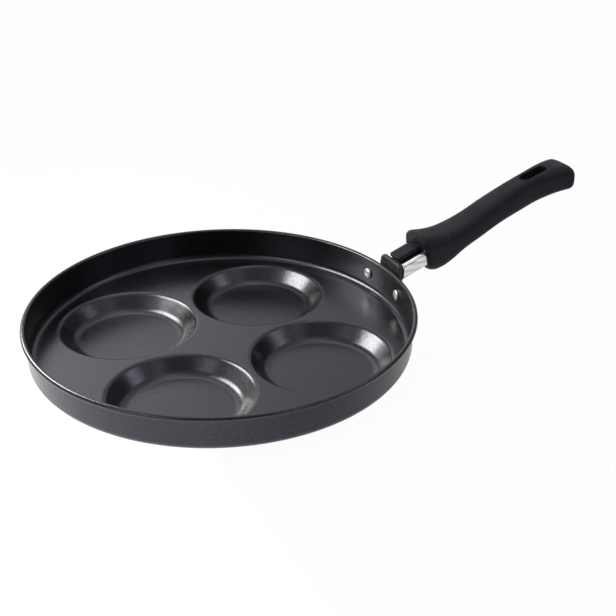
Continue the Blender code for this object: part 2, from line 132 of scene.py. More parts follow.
# %% From arrays to a closed mesh
def closed_piece(name, patches, sharp=60, merge=2e-6):
    """One object from (points, faces) patches: merged where they meet, faces outwards."""
    starts = np.cumsum([0] + [len(points) for points, _ in patches])
    points = np.concatenate([points for points, _ in patches])
    faces = np.concatenate([f + s for (_, f), s in zip(patches, starts)])
    mesh = bpy.data.meshes.new(name)
    mesh.vertices.add(len(points))
    mesh.vertices.foreach_set("co", points.astype(np.float32).ravel())
    mesh.loops.add(faces.size)
    mesh.loops.foreach_set("vertex_index", faces.astype(np.int32).ravel())
    mesh.polygons.add(len(faces))
    mesh.polygons.foreach_set("loop_start", np.arange(0, faces.size, 4, dtype=np.int32))
    mesh.update(calc_edges=True)
    work = bmesh.new()
    work.from_mesh(mesh)
    bmesh.ops.remove_doubles(work, verts=work.verts, dist=merge)
    bmesh.ops.recalc_face_normals(work, faces=work.faces)
    open_edges = sum(not e.is_manifold for e in work.edges)
    work.to_mesh(mesh)
    work.free()
    mesh.polygons.foreach_set("use_smooth", np.ones(len(mesh.polygons), bool))
    mesh.set_sharp_from_angle(angle=math.radians(sharp))
    mesh.calc_loop_triangles()
    piece = bpy.data.objects.new(name, mesh)
    bpy.context.scene.collection.objects.link(piece)
    print(f"{name}: {len(mesh.loop_triangles)} triangles, {open_edges} open edges")
    return piece


print("mesh helper ready")

# %% [markdown]
# The pan is one pressed sheet. Its wall is a surface of revolution: a profile that
# leaves the floor through a small bend, leans out by less than one degree and rolls
# over into a bead at the rim. The lean isn't typed in. It is the angle of the one
# straight line that touches both the foot bend and the bead, so the sheet has no kink.
# A Screw modifier would turn the profile too, but with the points worked out here, the
# floor that comes next can end on the same ones.

# %% Lean of the wall
foot_centre = (WALL_FOOT_RADIUS - FOOT_CORNER, FOOT_CORNER - SHEET)
bead_centre = (RIM_RADIUS - BEAD_RADIUS, RIM_HEIGHT - BEAD_RADIUS)
run = bead_centre[0] - foot_centre[0]
rise = bead_centre[1] - foot_centre[1]
bends = FOOT_CORNER - SHEET + BEAD_RADIUS
wall_lean = math.acos(bends / math.hypot(run, rise)) - math.atan2(rise, run)
print("wall leans out by", round(math.degrees(wall_lean), 2), "degrees")


# %% Profile of the wall and its rolled rim
def straight(a, b):
    """Points between a and b, closer together near the ends so that the bends stay crisp."""
    share = np.array([0.01, 0.04, 0.15, 0.35, 0.65, 0.85, 0.96, 0.99])[:, None]
    return a + (b - a) * share


def wall_profile():
    """(radius, height) from the floor up the inside, over the bead and down the outside.

    The bead's arc ends a little past straight down, where the sheet's edge tucks under.
    """
    lean, edge = math.degrees(wall_lean), -97
    foot_in = arc(foot_centre, FOOT_CORNER - SHEET, -90, -lean, 14)
    over = arc(bead_centre, BEAD_RADIUS, 180 - lean, edge, 36)
    under = arc(bead_centre, BEAD_RADIUS - SHEET, edge, 180 - lean, 20)
    foot_out = arc(foot_centre, FOOT_CORNER, -lean, -90, 14)
    rows = (foot_in, straight(foot_in[-1], over[0]), over, under)
    return np.vstack((*rows, straight(under[-1], foot_out[0]), foot_out))


def revolved(profile, steps):
    """Each (radius, height) point carried round the axis: x = r cos a, y = r sin a."""
    a = 2 * np.pi * np.arange(steps) / steps
    x = profile[:, :1] * np.cos(a)
    y = profile[:, :1] * np.sin(a)
    z = np.broadcast_to(profile[:, 1:], x.shape)
    return np.stack((x, y, z), axis=-1).reshape(-1, 3), grid_faces(len(profile), steps, True)


wall = revolved(wall_profile(), RIM_STEPS)
print("wall grid:", len(wall[0]), "points")

# %% [markdown]
# The floor with its four cups has no such simple axis. Dents pushed into a square grid
# would leave ragged rims, so the grid follows the cups instead. There are two mirror
# lines, so one quarter is enough. In it every point is reached by a ray from the cup's
# centre. Along a ray the point first crosses the cup's floor, climbs the side through
# its two bends, and then runs flat to the quarter's edge, which is the wall's circle or
# a mirror line. The rays end on the wall's own points, so both fit.


# %% Side of a cup
def cup_profile(offset):
    """(distance from the cup's centre, height) from the middle of its floor to its lip.

    The side is the straight line that touches the foot bend from outside and the lip
    bend from inside, so its slope follows from the depth and both radii.
    """
    reach = CUP_RIM_RADIUS - CUP_FLOOR_RADIUS
    both = CUP_LIP_BEND + CUP_FOOT_BEND
    length = math.sqrt(reach**2 + (CUP_DEPTH - both) ** 2 - both**2)
    slope = math.degrees(math.atan2(CUP_DEPTH - both, reach) + math.atan2(both, length))
    lip = (CUP_RIM_RADIUS, -CUP_LIP_BEND)
    foot = (CUP_FLOOR_RADIUS, CUP_FOOT_BEND - CUP_DEPTH)
    bend_up = arc(foot, CUP_FOOT_BEND + offset, -90, slope - 90, 10)
    bend_over = arc(lip, CUP_LIP_BEND - offset, 90 + slope, 90, 10)
    share = np.array([0, 0.25, 0.5, 0.75, 0.93, 0.99])[:, None]
    floor = share * (CUP_FLOOR_RADIUS, 0) + (0, bend_up[0, 1])
    side = bend_up[-1] + (bend_over[0] - bend_up[-1]) * np.array([[0.1], [0.5], [0.9]])
    return np.vstack((floor, bend_up, side, bend_over))


print("cup profile has", len(cup_profile(0)), "points")


# %% One quarter of the floor, then all four
def quarter_edge():
    """Points round the quarter: along the wall's circle, then in along both mirror lines.

    On a mirror line they stand at even turns as seen from the cup's centre, c: c - c tan turn.
    """
    a = np.radians(np.linspace(0, 90, RIM_STEPS // 4 + 1))
    circle = foot_centre[0] * np.column_stack((np.cos(a), np.sin(a)))
    top = np.arctan2(circle[-1, 1] - CUP_CENTRE, -CUP_CENTRE)
    turn = np.linspace(top, 1.25 * np.pi, 52)[1:]
    line = CUP_CENTRE - CUP_CENTRE * np.tan(turn)
    line[-1] = 0
    up = np.column_stack((0 * line, line))
    across = np.column_stack((line, 0 * line))[-2:0:-1]
    return np.vstack((circle, up, across))


def floor_quarter(offset):
    """Rays from the cup's centre: the cup profile, then flat on to the quarter's edge."""
    edge = quarter_edge() - CUP_CENTRE
    reach = np.linalg.norm(edge, axis=1)
    profile = cup_profile(offset)
    flat = np.array([0.03, 0.12, 0.3, 0.55, 0.8, 1])[:, None]
    away = np.vstack(
        (
            np.broadcast_to(profile[:, :1], (len(profile), len(edge))),
            CUP_RIM_RADIUS + (reach - CUP_RIM_RADIUS) * flat,
        )
    )
    height = np.concatenate((profile[:, 1], np.full(len(flat), -offset)))
    ray = edge / reach[:, None]
    x = CUP_CENTRE + away * ray[:, 0]
    y = CUP_CENTRE + away * ray[:, 1]
    z = np.broadcast_to(height[:, None], x.shape)
    return np.stack((x, y, z), axis=-1).reshape(-1, 3), grid_faces(len(away), len(edge), True)


def mirrored_floor(offset):
    """The quarter, and the same with x, y or both turned negative."""
    points, faces = floor_quarter(offset)
    signs = ((1, 1, 1), (-1, 1, 1), (-1, -1, 1), (1, -1, 1))
    return [(points * s, faces) for s in signs]


pan_sheet = closed_piece("pan_sheet", [wall, *mirrored_floor(0), *mirrored_floor(SHEET)])

# %% [markdown]
# Two rivets hold the bracket. Their heads sit inside the pan, a little flattened by
# the hammer, and their tails are set outside against the bracket. A flattened sphere
# would do for the head alone. But a rivet is round from end to end, so it is one
# profile carried round its own axis, and that axis stands square to the leaning wall.


# %% Where a rivet stands
def wall_radius(drop):
    """Outside radius of the straight wall, this far below the rim's top.

    It goes from the radius at the bead to the radius at the foot, by share of the height.
    """
    top = RIM_RADIUS - 2 * BEAD_RADIUS + SHEET
    fall = RIM_HEIGHT - BEAD_RADIUS - (FOOT_CORNER - SHEET)
    return top + (WALL_FOOT_RADIUS - top) * (drop - BEAD_RADIUS) / fall


def rivet_place(side):
    """Frame whose Z runs outward through the wall, from the wall's inner face."""
    angle = side * RIVET_ANGLE
    flat = Vector((math.cos(angle), math.sin(angle), 0))
    out = flat * math.cos(wall_lean) - Vector((0, 0, math.sin(wall_lean)))
    start = flat * (wall_radius(RIVET_DROP) - SHEET)
    start.z = RIM_HEIGHT - RIVET_DROP
    return Matrix.Translation(start) @ out.to_track_quat("Z", "Y").to_matrix().to_4x4()


def placed(points, place):
    """Points turned and moved by a 4 by 4 frame."""
    m = np.array(place)
    return points @ m[:3, :3].T + m[:3, 3]


print("wall at the rivets:", round(1000 * wall_radius(RIVET_DROP), 1), "mm from the pan's axis")

# %% The rivets
HEAD_RADIUS, HEAD_HEIGHT, HEAD_EDGE = 0.004, 0.0017, 0.0002
TAIL_RADIUS, TAIL_HEIGHT, TAIL_BEND = 0.0036, 0.0014, 0.0006
SHANK_RADIUS = 0.0022


def rivet_profile():
    """A squashed dome, r = R sin t and z = -h cos^0.8 t, then the shank and the tail."""
    t = np.radians(np.linspace(0, 90, 20))
    rise = HEAD_EDGE + (HEAD_HEIGHT - HEAD_EDGE) * np.cos(t) ** 0.8
    dome = np.column_stack((HEAD_RADIUS * np.sin(t), -GAP - rise))
    outer = (SHEET + GAP + PAD_THICKNESS) * math.cos(wall_lean) + GAP
    shank = [(HEAD_RADIUS, -GAP), (SHANK_RADIUS, -GAP), (SHANK_RADIUS, outer)]
    shank += [(TAIL_RADIUS, outer)]
    corner = (TAIL_RADIUS - TAIL_BEND, outer + TAIL_HEIGHT - TAIL_BEND)
    tail = arc(corner, TAIL_BEND, 0, 90, 6)
    return np.vstack((dome, shank, tail, [(0, outer + TAIL_HEIGHT)]))


rivet_points, rivet_faces = revolved(rivet_profile(), 48)
rivets = [
    closed_piece(name, [(placed(rivet_points, rivet_place(side)), rivet_faces)], 50)
    for name, side in (("rivet_head_left", 1), ("rivet_head_right", -1))
]

# %% [markdown]
# The flame guard is a short piece of oblong tube, folded from thin steel and chromed.
# One end is cut upright, to sit on the bracket, and the other square, to sit in the
# handle. A curve with a bevel makes tubes too, but not with two such different ends.
# Here a lengthwise section of the tube's wall, with its two cut edges a little rounded,
# is carried round an oblong with round corners.


# %% The axis that the bracket, guard, handle and screw share
def axis_place():
    """Z along the handle axis, Y up and away from it, X to the near side."""
    along = Vector((math.cos(AXIS_ANGLE), 0, math.sin(AXIS_ANGLE)))
    up = Vector((-math.sin(AXIS_ANGLE), 0, math.cos(AXIS_ANGLE)))
    columns = Matrix((up.cross(along), up, along)).transposed().to_4x4()
    return Matrix.Translation((AXIS_START, 0, AXIS_HEIGHT)) @ columns


def oblong(share, half_x, half_y, corner):
    """Points of a round-cornered oblong. Share 0 to 4 counts quarters, from the +x side.

    A quarter is a straight half side, a quarter circle and the other half side. The
    point stands at that share of the quarter's length.
    """
    quarter = np.floor(share).astype(int) % 4
    part = share - np.floor(share)
    part = np.where(quarter % 2, 1 - part, part)
    side, bend = half_y - corner, corner * np.pi / 2
    far = part * (side + bend + half_x - corner)
    turn = np.clip((far - side) / corner, 0, np.pi / 2)
    x = half_x - corner + corner * np.cos(turn) - np.maximum(far - side - bend, 0)
    y = half_y - corner + corner * np.sin(turn) - np.maximum(side - far, 0)
    sign_x = np.array([1, -1, -1, 1])[quarter]
    sign_y = np.array([1, 1, -1, -1])[quarter]
    return np.column_stack((x * sign_x, y * sign_y))


print("axis rises at", round(math.degrees(AXIS_ANGLE), 1), "degrees")


# %% The flame guard
def guard_surface(columns=144):
    """The tube's wall: rows go round its thickness, columns round the oblong.

    A row is (from the start edge, share of the length, distance inside the oblong).
    The cut edges are rounded over a width e, with more rows near them than between.
    """
    e, near = 0.00025, 0.004
    rows = [(0, 0, e), (e / 3, 0, e / 3), (e, 0, 0), (3 * e, 0, 0), (near, 0, 0)]
    rows += [(0, 0.5, 0), (-near, 1, 0), (-3 * e, 1, 0), (-e, 1, 0), (-e / 3, 1, e / 3)]
    rows += [(0, 1, e), (0, 1, GUARD_WALL - e), (-e / 3, 1, GUARD_WALL - e / 3)]
    rows += [(-e, 1, GUARD_WALL), (-3 * e, 1, GUARD_WALL), (3 * e, 0, GUARD_WALL)]
    rows += [(e, 0, GUARD_WALL), (e / 3, 0, GUARD_WALL - e / 3), (0, 0, GUARD_WALL - e), (0, 0, e)]
    share = 4 * np.arange(columns) / columns
    grid = []
    for start, part, inside in rows:
        half = (GUARD_HALF_WIDTH - inside, GUARD_HALF_HEIGHT - inside)
        xy = oblong(share, *half, GUARD_CORNER - inside)
        cut = GAP / math.cos(AXIS_ANGLE) + xy[:, 1] * math.tan(AXIS_ANGLE)
        z = start + cut + (GUARD_END - cut) * part
        grid.append(np.column_stack((xy, z)))
    return placed(np.concatenate(grid), axis_place()), grid_faces(len(rows), columns, True)


guard_tube = closed_piece("guard_tube", [guard_surface()])

# %% [markdown]
# The handle is moulded from phenolic resin in one go: a body that grows from a stout
# square front through a slim waist to a broad end, a tongue that lies over the guard,
# and a long slot to hang the pan by. A box with a Subdivision Surface modifier has to be
# pushed about until its outline fits. A loft takes the outline as it is: a table of
# stations gives the middle height, half depth and half width along the way, a smooth
# curve runs through them, and each section is a superellipse, a square with soft sides.

# %% Stations of the handle
# distance from the guard's end, height over the rim, half depth, half width
GRIP_STATIONS = np.array(
    (
        (-0.0023, 0.0105, 0.0128, 0.0153),
        (0.0017, 0.0091, 0.0137, 0.0154),
        (0.0058, 0.0083, 0.0139, 0.0155),
        (0.0118, 0.0086, 0.0134, 0.0152),
        (0.0199, 0.0107, 0.0118, 0.0146),
        (0.0280, 0.0138, 0.0101, 0.0139),
        (0.0361, 0.0169, 0.0092, 0.0134),
        (0.0452, 0.0205, 0.0090, 0.0129),
        (0.0625, 0.0283, 0.0092, 0.0122),
        (0.0807, 0.0352, 0.0101, 0.0113),
        (0.0990, 0.0413, 0.0102, 0.0115),
        (0.1153, 0.0453, 0.0103, 0.0135),
        (0.1245, 0.0465, 0.0100, 0.0151),
        (0.1306, 0.0467, 0.0094, 0.0165),
    )
)
SQUARENESS = 3.4
FRONT_LEAN = math.radians(13.5)
LEAN_LENGTH = 0.020
FRONT_ROUNDING = 0.0034
BACK_ROUNDING = 0.004
FRONT_DRAW_IN = 0.13
BACK_DRAW_IN = 0.16
grip_first, grip_last = GRIP_START + GRIP_STATIONS[[0, -1], 0]
print("handle runs from", round(1000 * grip_first, 1), "to", round(1000 * grip_last, 1), "mm")


# %% Middle line, sizes and lean of a section
def through_stations(x, column):
    """A cubic Hermite curve: it meets every station, with the slope of its neighbours."""
    stations = GRIP_START + GRIP_STATIONS[:, 0]
    value = GRIP_STATIONS[:, column]
    slope = np.gradient(value, stations)
    k = np.clip(np.searchsorted(stations, x) - 1, 0, len(stations) - 2)
    span = stations[k + 1] - stations[k]
    t = (x - stations[k]) / span
    start = (2 * t**3 - 3 * t**2 + 1) * value[k] + (t**3 - 2 * t**2 + t) * span * slope[k]
    return start + (3 * t**2 - 2 * t**3) * value[k + 1] + (t**3 - t**2) * span * slope[k + 1]


def section_lean(x):
    """A section stands square to the middle line, but the front keeps its own lean."""
    step = 0.0005
    ahead = through_stations(np.minimum(x + step, grip_last), 1)
    behind = through_stations(np.maximum(x - step, grip_first), 1)
    settled = np.minimum(1, (x - grip_first) / LEAN_LENGTH)
    return FRONT_LEAN + (np.arctan2(ahead - behind, 2 * step) - FRONT_LEAN) * settled


def end_shrink(x):
    """Sections draw in towards both ends: a chamfer in front, a quarter round behind."""
    near_front = np.maximum(0, 1 - (x - grip_first) / FRONT_ROUNDING)
    near_back = np.clip(1 - (grip_last - x) / BACK_ROUNDING, 0, 1)
    chamfer = FRONT_DRAW_IN * near_front**2
    return 1 - chamfer - BACK_DRAW_IN * (1 - np.sqrt(1 - near_back**2))


def grip_point(x, across, side):
    """The skin at x: up = depth (1 - |across|^n)^(1/n), above for side 1, below for -1.

    Across is a share of the half width. The section's own up direction leans back.
    """
    shrink = end_shrink(x)
    depth, width = through_stations(x, 2) * shrink, through_stations(x, 3) * shrink
    up = side * depth * np.maximum(0, 1 - np.abs(across) ** SQUARENESS) ** (1 / SQUARENESS)
    lean = section_lean(x)
    height = RIM_HEIGHT + through_stations(x, 1) + np.cos(lean) * up
    return np.stack((x - np.sin(lean) * up, across * width, height), axis=-1)


print("handle leans", round(math.degrees(section_lean(grip_last)), 1), "degrees at its end")

# %% The grid of the handle's body
GRIP_COLUMNS = 112


def even_share():
    """Angles spaced by the way along a quarter superellipse plus how far it turns there."""
    wider, weight = 1.2, 0.35
    fine = np.linspace(0, np.pi / 2, 4001)
    power = 2 / SQUARENESS
    c, s = wider * np.cos(fine) ** power, np.sin(fine) ** power
    way = np.hypot(np.diff(c), np.diff(s))
    bend = np.unwrap(np.arctan2(np.diff(s), -np.diff(c)))
    far = np.concatenate(([0], np.cumsum(way + weight * np.abs(np.gradient(bend)))))
    quarter = np.interp(np.linspace(0, far[-1], GRIP_COLUMNS // 4 + 1), far, fine)
    half = np.concatenate((quarter[:-1], np.pi - quarter[:0:-1]))
    return np.concatenate((half, half + np.pi))


turn = even_share()
around = np.sign(np.cos(turn)) * np.abs(np.cos(turn)) ** (2 / SQUARENESS)
above = np.where(np.sin(turn) >= -1e-9, 1.0, -1.0)
front = np.array([0, 0.0002, 0.0005, 0.0009, 0.0014, 0.002, 0.0027, 0.0034, 0.0042, 0.0054])
middle = np.linspace(grip_first + front[-1], grip_last - BACK_ROUNDING, 128)
back = BACK_ROUNDING * (1 - np.sin(np.radians(np.linspace(0, 90, 12))))[1:]
positions = np.concatenate((grip_first + front[:-1], middle, grip_last - back))
body_grid = grip_point(positions[:, None], around[None, :], above[None, :])
print("handle body grid:", body_grid.shape[0], "by", body_grid.shape[1])

# %% [markdown]
# The hanging slot is cut through the body on a slant, square to the top face. A Boolean
# modifier would cut it, but leaves long thin faces and a hard edge. So in the grid, a
# rectangle of squares is left out above and below. Rings lead from each
# rectangle's edge to the slot's outline, roll over its rounded edge, and go down to
# the other side. A point of the outline lies on the slanted slot and on the skin at
# once, which a few rounds of correction find for all points together. The left-out
# field reaches past the slot by a margin, and over a share of the body's width.

# %% Sizes of the slot
SLOT_FROM_END = 0.0261
SLOT_X = grip_last - SLOT_FROM_END
SLOT_TILT = math.radians(16.5)
SLOT_HALF_LENGTH = 0.0118
SLOT_HALF_WIDTH = 0.0045
SLOT_EDGE = 0.0011
SLOT_MARGIN = 0.0022
SLOT_FIELD = 0.66
SLOT_FIELD_STRETCH = 2.2
slot_middle = np.array((SLOT_X, 0, RIM_HEIGHT + through_stations(np.array(SLOT_X), 1)))
slot_along = np.array((math.cos(SLOT_TILT), 0, math.sin(SLOT_TILT)))
slot_up = np.array((-math.sin(SLOT_TILT), 0, math.cos(SLOT_TILT)))
print("slot is", round(2000 * SLOT_HALF_LENGTH, 1), "by", round(2000 * SLOT_HALF_WIDTH, 1), "mm")


# %% Outline of the slot on the skin
def on_skin(a, b, side, rounds=25):
    """x and across where the slot's line through (a, b) meets the skin.

    Each round of correction moves x by what is still missing along the slot.
    """
    x = SLOT_X + a * slot_along[0]
    for _ in range(rounds):
        across = b / (through_stations(x, 3) * end_shrink(x))
        x = x + a - (grip_point(x, across, side) - slot_middle) @ slot_along
    return x, b / (through_stations(x, 3) * end_shrink(x))


def round_hole(rows, columns):
    """Row and column numbers round a left-out rectangle, from its first corner, in order."""
    top, bottom = rows
    first, last = columns[0], columns[-1]
    long, short = bottom - top, len(columns) - 1
    r = np.concatenate((np.arange(top, bottom), np.full(short, bottom)))
    r = np.concatenate((r, np.arange(bottom, top, -1), np.full(short, top)))
    c = np.concatenate((np.full(long, first), columns[:-1]))
    return r, np.concatenate((c, np.full(long, last), columns[:0:-1]))


def share_round(rows, columns, stretch):
    """Share by quarters of the way round the rectangle, from the middle of its far end.

    Stretch is the length of the rectangle over its width.
    """
    long, short = rows[1] - rows[0], len(columns) - 1
    n = 2 * (long + short)
    k = np.arange(n)
    x = np.clip(np.minimum(k, 2 * long + short - k), 0, long) / long * 2 - 1
    y = 1 - np.clip(np.minimum(k - long, n - k), 0, short) / short * 2
    side = np.where(np.abs(x) > np.abs(y) - 1e-9, np.abs(y), 1 + (1 - np.abs(x)) * stretch)
    walk = np.minimum(side / (1 + stretch), 1)
    quarter = np.where(y >= 0, np.where(x > 0, 0, 1), np.where(x < 0, 2, 3))
    return np.where(quarter % 2, quarter + 1 - walk, quarter + walk) % 4


def slot_rings(side, rows, columns, share):
    """Rings from the rectangle over the skin to the slot, then round its edge into it."""
    r, c = round_hole(rows, columns)
    x, across = positions[r], around[c % GRIP_COLUMNS]

    def outline(out):
        """The slot's outline on the skin, grown by out. Its ends are all but full rounds."""
        half = SLOT_HALF_WIDTH + out
        edge = oblong(share, SLOT_HALF_LENGTH + out, half, half - 1e-6)
        return on_skin(edge[:, 0], edge[:, 1], side)

    rings = [grip_point(x, across, side)]
    x_in, across_in = outline(SLOT_EDGE)
    for part in (0.35, 0.7, 0.92):
        moved = (x + (x_in - x) * part, across + (across_in - across) * part)
        rings.append(grip_point(*moved, side))
    for angle in np.radians(np.linspace(0, 90, 8)):
        skin = grip_point(*outline(SLOT_EDGE * (1 - math.sin(angle))), side)
        rings.append(skin - side * slot_up * SLOT_EDGE * (1 - math.cos(angle)))
    return np.stack(rings)


print("slot's rings go from the body's skin to", round(1000 * SLOT_EDGE, 1), "mm inside it")


# %% The body with its slot
def kept_faces(holes):
    """All squares of the body grid but those inside the left-out rectangles."""
    faces = grid_faces(len(positions), GRIP_COLUMNS, True)
    r = np.repeat(np.arange(len(positions) - 1), GRIP_COLUMNS)
    c = np.tile(np.arange(GRIP_COLUMNS), len(positions) - 1)
    keep = np.ones(len(faces), bool)
    for rows, columns in holes:
        inside = (c >= min(columns)) & (c < max(columns))
        keep &= ~((r >= rows[0]) & (r < rows[1]) & inside)
    return faces[keep]


def hole_for(side):
    """Rows, and columns from the near side to the far, to leave out above or below."""
    reach = SLOT_HALF_LENGTH + SLOT_EDGE + SLOT_MARGIN
    ends, _ = on_skin(np.array((-reach, reach)), np.zeros(2), side)
    rows = [int(i) for i in np.searchsorted(positions, ends)]
    quarter = GRIP_COLUMNS // 4
    half = int((np.abs(around[quarter : 2 * quarter]) < SLOT_FIELD).sum())
    columns = np.arange(-half, half + 1)
    return rows, quarter + columns if side > 0 else 3 * quarter - columns


rows_top, columns_top = hole_for(1)
rows_below, columns_below = hole_for(-1)
rows_below[1] = rows_below[0] + rows_top[1] - rows_top[0]
slot_share = share_round(rows_top, columns_top, SLOT_FIELD_STRETCH)
rings_top = slot_rings(1, rows_top, columns_top, slot_share)
rings_below = slot_rings(-1, rows_below, columns_below, slot_share)
down = np.linspace(0, 1, 6)[:, None, None]
slot_wall = rings_top[-1] + (rings_below[-1] - rings_top[-1]) * down
slot_grid = np.concatenate((rings_top, slot_wall[1:-1], rings_below[::-1]))
slot_patch = (slot_grid.reshape(-1, 3), grid_faces(len(slot_grid), slot_grid.shape[1], True))
body_faces = kept_faces(((rows_top, columns_top), (rows_below, columns_below)))
print("slot is made of", slot_grid.shape[0], "rings of", slot_grid.shape[1], "points")

# %% [markdown]
# The front of the handle is a flat face that leans back, with an opening that takes
# the guard's end. One large face with a hole would shade badly beside rounded edges, so
# it is a set of rings between the outer edge and the opening, and further rings line
# the opening down to its floor. The broad end is closed the same way, with rings that
# shrink to the middle.


# %% Front face and the room for the guard
def guard_outline(share, out):
    """The guard's outside, grown by out."""
    return oblong(share, GUARD_HALF_WIDTH + out, GUARD_HALF_HEIGHT + out, GUARD_CORNER + out)


def room_ring(share, out, deep):
    """Outline of the guard's room, grown by out. It lies on the front face, or deeper."""
    xy = guard_outline(share, ROOM_GAP + out)
    middle = grip_point(grip_first, np.array(0.0), 0)
    face = np.array((math.cos(FRONT_LEAN), 0, math.sin(FRONT_LEAN)))
    place = np.array(axis_place())
    flat = placed(np.column_stack((xy, 0 * share)), place)
    along = ((middle - flat) @ face) / (place[:3, 2] @ face)
    return flat + (along + deep)[:, None] * place[:3, 2]


def front_rings():
    """From the body's first ring over the face to the room, then down to its floor."""
    share = turn / (np.pi / 2)
    outer = body_grid[0]
    edge, room = 0.0007, 0.0007
    lip = room_ring(share, edge, 0)
    rings = [outer + (lip - outer) * part for part in (0, 0.04, 0.12, 0.5, 0.88)]
    for angle in np.radians(np.linspace(0, 90, 6)):
        out, deep = edge * (1 - math.sin(angle)), edge * (1 - math.cos(angle))
        rings.append(room_ring(share, out, deep))
    depth = np.full(len(share), GUARD_END + room)
    floor = placed(np.column_stack((guard_outline(share, ROOM_GAP), depth)), axis_place())
    wall_top = rings[-1]
    rings += [wall_top + (floor - wall_top) * part for part in (0.3, 0.6, 0.95, 1)]
    centre = floor.mean(axis=0)
    rings += [floor + (centre - floor) * part for part in (0.1, 0.5, 1)]
    return np.stack(rings)


def cap_rings(outer):
    """Rings from the last section to its middle."""
    centre = outer.mean(axis=0)
    return np.stack([outer + (centre - outer) * part for part in (0, 0.03, 0.1, 0.35, 0.7, 1)])


def as_patch(rings):
    """Points and faces of a stack of closed rings."""
    return rings.reshape(-1, 3), grid_faces(rings.shape[0], rings.shape[1], True)


front_patch, end_patch = as_patch(front_rings()), as_patch(cap_rings(body_grid[-1]))
print("front face and room:", len(front_patch[0]), "points")


# %% The tongue over the guard
def tongue_rings():
    """A bar with rounded corners and a rounded nose, moulded with the handle's body.

    A row is (distance along the axis, distance inside the bar's outline, share of the
    way to the bar's middle line). The nose is a quarter round.
    """
    half_width, half_height, nose, corner = 0.0064, 0.00165, 0.0011, 0.0013
    start, near, end = 0.0026, 0.005, GUARD_END + 0.006
    a = np.radians(np.linspace(0, 90, 7))
    rows = [(start, nose, part) for part in (1, 0.6, 0.15)]
    rows += list(zip(start + nose * (1 - np.cos(a)), nose * (1 - np.sin(a)), 0 * a))
    rows += [(near, 0, 0), (0.5 * end, 0, 0), (end, 0, 0), (end, 0, 0.5), (end, 0, 1)]
    share = 4 * np.arange(64) / 64
    middle = np.array((0, GUARD_HALF_HEIGHT + GAP + half_height))
    grid = []
    for z, inside, part in rows:
        y = half_height - inside
        xy = oblong(share, half_width - inside, y, min(corner, 0.98 * y)) * (1 - part)
        grid.append(np.column_stack((xy + middle, np.full(len(share), z))))
    return placed(np.concatenate(grid), axis_place()), grid_faces(len(grid), len(share), True)


grip = closed_piece(
    "grip_body",
    [(body_grid.reshape(-1, 3), body_faces), slot_patch, front_patch, end_patch, tongue_rings()],
    sharp=50,
    merge=5e-6,
)

# %% [markdown]
# Each finish is a set of shader nodes that read the object's own coordinates, in
# metres, so a pattern has its real size and keeps its place. Pictures of real surfaces
# would do too, but nodes need no file and never repeat. A small library of recipes is
# enough: cloudy noise, values squeezed to a range, and bumps laid over each other.


# %% Recipe helpers
def shader_of(finish):
    """The material's Principled shader."""
    return finish.node_tree.nodes["Principled BSDF"]


def new_finish(name, colour, metal=0.0, specular=0.5):
    """A material with a Principled shader. Even values are set on the shader's sockets."""
    finish = bpy.data.materials.new(name)
    finish.use_nodes = True
    shader = shader_of(finish)
    shader.inputs["Base Color"].default_value = (*colour, 1)
    shader.inputs["Metallic"].default_value = metal
    shader.inputs["Specular IOR Level"].default_value = specular
    finish.diffuse_color = (*colour, 1)
    return finish


def cloud(finish, scale, detail=3.0, rough=0.55, stretch=(1, 1, 1)):
    """Noise in the object's own coordinates. Scale counts its waves per metre."""
    tree = finish.node_tree
    place = tree.nodes.new("ShaderNodeTexCoord")
    fit = tree.nodes.new("ShaderNodeMapping")
    fit.inputs["Scale"].default_value = stretch
    noise = tree.nodes.new("ShaderNodeTexNoise")
    noise.inputs["Scale"].default_value = scale
    noise.inputs["Detail"].default_value = detail
    noise.inputs["Roughness"].default_value = rough
    tree.links.new(place.outputs["Object"], fit.inputs["Vector"])
    tree.links.new(fit.outputs["Vector"], noise.inputs["Vector"])
    return noise.outputs["Fac"]


def ranged(finish, value, low, high, from_low=0.3, from_high=0.7):
    """A value squeezed from one range to another, and kept inside it."""
    node = finish.node_tree.nodes.new("ShaderNodeMapRange")
    node.inputs["From Min"].default_value = from_low
    node.inputs["From Max"].default_value = from_high
    node.inputs["To Min"].default_value = low
    node.inputs["To Max"].default_value = high
    finish.node_tree.links.new(value, node.inputs["Value"])
    return node.outputs["Result"]


def between(finish, share, first, second):
    """A colour between two, by share. The first is a colour, or comes from other nodes."""
    node = finish.node_tree.nodes.new("ShaderNodeMix")
    node.data_type = "RGBA"
    node.inputs["B"].default_value = (*second, 1)
    finish.node_tree.links.new(share, node.inputs["Factor"])
    if isinstance(first, tuple):
        node.inputs["A"].default_value = (*first, 1)
    else:
        finish.node_tree.links.new(first, node.inputs["A"])
    return node.outputs["Result"]


def bumped(finish, heights):
    """Bumps laid over each other. Each is (height socket, depth in metres, strength)."""
    tree = finish.node_tree
    normal = None
    for height, depth, strength in heights:
        bump = tree.nodes.new("ShaderNodeBump")
        bump.inputs["Distance"].default_value = depth
        bump.inputs["Strength"].default_value = strength
        tree.links.new(height, bump.inputs["Height"])
        if normal is not None:
            tree.links.new(normal, bump.inputs["Normal"])
        normal = bump.outputs["Normal"]
    tree.links.new(normal, shader_of(finish).inputs["Normal"])


def into(finish, socket, value):
    """A node's output led into one of the shader's sockets."""
    finish.node_tree.links.new(value, shader_of(finish).inputs[socket])


def mottled(finish, scale, detail, first, second):
    """The base colour drifts between two colours, in clouds of this scale."""
    share = ranged(finish, cloud(finish, scale, detail), 0, 1)
    into(finish, "Base Color", between(finish, share, first, second))


print("finish helpers ready")

